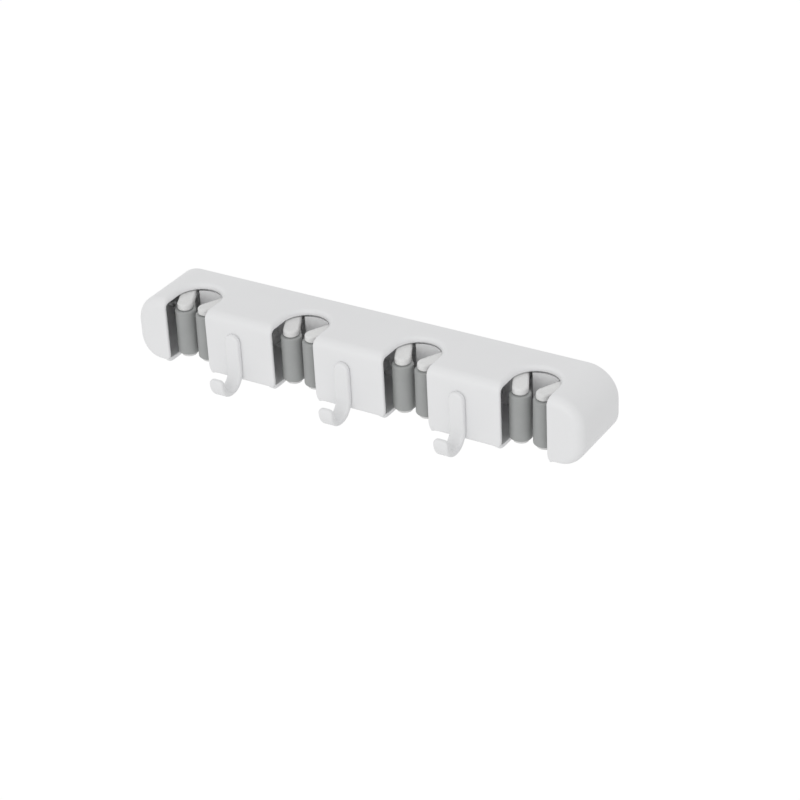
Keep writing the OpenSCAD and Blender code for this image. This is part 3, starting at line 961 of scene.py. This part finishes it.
def arm_grids(size):
    """Right-hand arm: two links stretched round the heel, pivot and roller axes, and a web between them.

    The web is an arc round the roller whose upright edges are half circles.
    """
    half = size.link_width / 2
    at_pivot = (0, 0, half)
    circles = [(0, -size.heel_length, size.heel_width / 2), at_pivot, (0, REACH, half), at_pivot]
    outline = hull_outline(circles, 16, 1)
    links = (
        (size.link_low, size.link_edge, ARM_LOW.z),
        (size.link_top, size.link_crown, ARM_HIGH.z - size.link_top),
    )
    grids = []
    for thick, crown, z in links:
        across, along, depth = plate(outline, thick, size.link_edge, crown)
        grids.append(on_arm(across, along, depth + z))
    rounded = size.web_thick / 2
    middle = ROLLER_R + size.web_gap + rounded
    spread = math.asin((half - rounded) / middle)
    angle = np.linspace(-spread, spread, 24)
    bend = np.linspace(0, math.pi, 9)
    side = rounded + 0 * angle
    edge = rounded * np.cos(bend)
    bulge = spread + rounded * np.sin(bend) / middle
    radius = middle + np.concatenate([side, edge, -side, -edge])
    swing = np.concatenate([angle, bulge, angle[::-1], -bulge])
    height = np.array([ARM_LOW.z + size.link_low / 2, ARM_HIGH.z - size.link_top / 2])
    wide = (radius * np.sin(swing))[:, None]
    far = (REACH - radius * np.cos(swing))[:, None]
    return grids + [on_arm(wide, far, height)]


class RACK_OT_arms(Step, bpy.types.Operator):
    """Swing arms of the grips"""

    bl_idname = "rack.arms"
    bl_label = "Arms"

    def make(self, scene):
        build_in_grips("arm", "yoke", arm_grids(scene.rack_grips), "swing_arm", "arm_plastic")

def sleeve_profile(size):
    """Half section of a rubber sleeve with some draft and quarter rounds at its ends, as a closed loop."""
    bore = CORE_R + size.fit
    low, high = ROLLER_LOW.z, ROLLER_HIGH.z
    turns = np.linspace(0, QUARTER, 9)
    inward, down = size.bevel * (1 - np.cos(turns)), size.bevel * (1 - np.sin(turns))
    upper = list(zip(ROLLER_R - size.draft - inward, high - down)) + [(bore, high)]
    lower = [(bore, low)] + list(zip(ROLLER_R - inward, low + down))[::-1]
    return lower + upper + lower[:1]


class RACK_OT_rollers(Step, bpy.types.Operator):
    """Rubber sleeves and their cores"""

    bl_idname = "rack.rollers"
    bl_label = "Rollers"

    def make(self, scene):
        size = scene.rack_grips
        sleeve = turned(sleeve_profile(size), ROLLER, steps=120)
        bore = AXLE_R + 3 * size.fit
        low, high = CORE_LOW.z, CORE_HIGH.z
        bush = turned([(bore, low), (CORE_R, low), (CORE_R, high), (bore, high), (bore, low)], ROLLER)
        build_in_grips("roller", "sleeve", [sleeve], "spin_roller", "roller_rubber")
        build_in_grips("core", "bush", [bush], "spin_roller", "core_plastic")

class RACK_OT_pins(Step, bpy.types.Operator):
    """Roller axles and arm pivots"""

    bl_idname = "rack.pins"
    bl_label = "Pins"

    def make(self, scene):
        size = scene.rack_grips
        pins = (
            ("axle", ROLLER, AXLE_LOW, AXLE_HIGH, "swing_arm"),
            ("pivot", PIVOT, PIVOT_LOW, PIVOT_HIGH, RACK),
        )
        for kind, axis, low, high, carrier in pins:
            profile = pin_profile((high.x - low.x) / 2, low.z, high.z, size.pin_chamfer, size.pin_crown)
            build_in_grips(kind, "pin", [turned(profile, axis, steps=48)], carrier, "pin_steel")

def spring_path(size):
    """Middle line of a right-hand torsion spring: back leg, helix round the pivot, leg along the arm."""
    turns = round((SPRING_HIGH.z - SPRING_LOW.z - size.wire) / size.turn_step)
    leg = REACH - ROLLER_R
    lean = math.asin((size.link_width / 2 + size.wire - size.coil) / leg)
    final = QUARTER + math.atan2(AHEAD[1], AHEAD[0]) + lean
    part = np.linspace(0, 1, turns * 40 + 1)
    angle = (final - 2 * math.pi * turns) * part
    start_z = SPRING_LOW.z + size.wire / 2
    helix = np.stack([
        PIVOT[0] + size.coil * np.cos(angle),
        PIVOT[1] + size.coil * np.sin(angle),
        start_z + size.turn_step * turns * part,
    ], 1)
    back = np.linspace(SPRING_HIGH.y, PIVOT[1], 12)[:-1]
    back_leg = np.stack([0 * back + PIVOT[0] + size.coil, back, 0 * back + start_z], 1)
    step = np.linspace(0, leg, 10)[1:, None]
    front_leg = helix[-1] + step * np.array([math.sin(final), -math.cos(final), 0])
    return np.concatenate([back_leg, helix, front_leg])


class RACK_OT_springs(Step, bpy.types.Operator):
    """Torsion springs that shut the arms: one leg runs back to the rack, the other along its arm"""

    bl_idname = "rack.springs"
    bl_label = "Springs"

    def make(self, scene):
        size = scene.rack_grips
        points = tube(spring_path(size), size.wire / 2)
        coils = build_in_grips("spring", "coil", [points], None, "spring_steel")
        for (slot, side), coil in zip(GRIPS, coils):
            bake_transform(coil)

# Stage


def backdrop_rays(start):
    """1 for rays that show the backdrop: from the camera, off gloss or through glass."""
    kinds = ("Is Camera Ray", "Is Glossy Ray", "Is Transmission Ray")
    camera, glossy, through = (start.node("ShaderNodeLightPath", output=kind) for kind in kinds)
    return camera + glossy + through


def stage_floor():
    """Wide pale floor well below the rack, white to the camera apart from the shadow on it."""
    half, drop, glow_share = 6.0, 0.6, 0.8
    level = CAD_BOX[0][2] - drop
    corners = [(-half, -half, level), (half, -half, level), (half, half, level), (-half, half, level)]
    mesh = bpy.data.meshes.new("floor")
    mesh.from_pydata(corners, [], [(0, 1, 2, 3)])
    material, start, shader = surface("floor_white")
    shader.inputs["Base Color"].default_value = (0.85, 0.85, 0.85, 1)
    shader.inputs["Roughness"].default_value = 0.9
    plain = Wire(start.tree, shader.outputs[0])
    glow = start.node("ShaderNodeEmission", None, {"Strength": 1.1})
    inputs = {0: backdrop_rays(start) * glow_share, 1: plain, 2: glow}
    mixed = start.node("ShaderNodeMixShader", None, inputs)
    output = start.tree.nodes["Material Output"]
    start.tree.links.new(mixed.socket, output.inputs["Surface"])
    mesh.materials.append(material)
    floor = add("floor", mesh)


def stage_world(level):
    """White sky: full strength where it is seen, a plain level where it lights the rack."""
    world = bpy.data.worlds.new("studio")
    bpy.context.scene.world = world
    world.use_nodes = True
    sky = world.node_tree.nodes["Background"]
    sky.inputs["Color"].default_value = (1, 1, 1, 1)
    strength = level + (1.0 - level) * backdrop_rays(Wire(world.node_tree))
    world.node_tree.links.new(strength.socket, sky.inputs["Strength"])


def soft_lamp(name, place, width, power):
    """Square soft box at a place, facing the middle of the rack."""
    data = bpy.data.lights.new(name, "AREA")
    data.size = width
    data.energy = power
    lamp = add(name, data)
    lamp.location = place
    middle = Vector((0, -0.03, 0))
    lamp.rotation_euler = (middle - Vector(place)).to_track_quat("-Z", "Y").to_euler()


def stage_camera():
    """Camera of the photograph: its place, its turn by azimuth, elevation and roll, and its lens."""
    place = (0.7297, -1.1454, 0.7485)
    azimuth, elevation, roll = (math.radians(angle) for angle in (32.254, 30.243, -3.048))
    focal_pixels, image_pixels = 2321.4, 800
    data = bpy.data.cameras.new("camera")
    data.sensor_width = 36
    data.lens = focal_pixels / image_pixels * data.sensor_width
    camera = add("camera", data)
    aim = Matrix.Rotation(azimuth, 4, "Z") @ Matrix.Rotation(QUARTER - elevation, 4, "X")
    camera.matrix_world = Matrix.Translation(place) @ aim @ Matrix.Rotation(roll, 4, "Z")
    bpy.context.scene.camera = camera


class RACK_OT_stage(Step, bpy.types.Operator):
    """Floor, light and camera"""

    bl_idname = "rack.stage"
    bl_label = "Stage"

    def make(self, scene):
        scene.view_settings.view_transform = "Standard"
        stage_camera()
        stage_floor()
        stage_world(level=0.735)
        soft_lamp("key", place=(0.18, -2.03, 0.82), width=1.6, power=9.3)

# Panel and registration


class RACK_PT_panel(bpy.types.Panel):
    """Lists the steps that build the rack"""

    bl_label = "Mop rack"
    bl_idname = "RACK_PT_panel"
    bl_space_type = "VIEW_3D"
    bl_region_type = "UI"
    bl_category = "Mop rack"

    def draw(self, context):
        for step in STEPS:
            self.layout.operator(step.bl_idname)


STEPS = (
    RACK_OT_stage,
    RACK_OT_cover,
    RACK_OT_base,
    RACK_OT_screws,
    RACK_OT_hooks,
    RACK_OT_arms,
    RACK_OT_rollers,
    RACK_OT_pins,
    RACK_OT_springs,
)
GROUPS = {
    "rack_cover": CoverSizes,
    "rack_grips": GripSizes,
    "rack_hooks": HookSizes,
    "rack_screws": ScrewSizes,
    "rack_finishes": Finishes,
}


def register():
    for name, group in GROUPS.items():
        bpy.utils.register_class(group)
        setattr(bpy.types.Scene, name, bpy.props.PointerProperty(type=group))
    for step in STEPS + (RACK_PT_panel,):
        bpy.utils.register_class(step)


def unregister():
    for step in (RACK_PT_panel,) + STEPS[::-1]:
        bpy.utils.unregister_class(step)
    for name, group in GROUPS.items():
        delattr(bpy.types.Scene, name)
        bpy.utils.unregister_class(group)


def main():
    """Builds the rack step by step."""
    register()
    for step in STEPS:
        family, name = step.bl_idname.split(".")
        getattr(getattr(bpy.ops, family), name)()


if __name__ == "__main__":
    main()
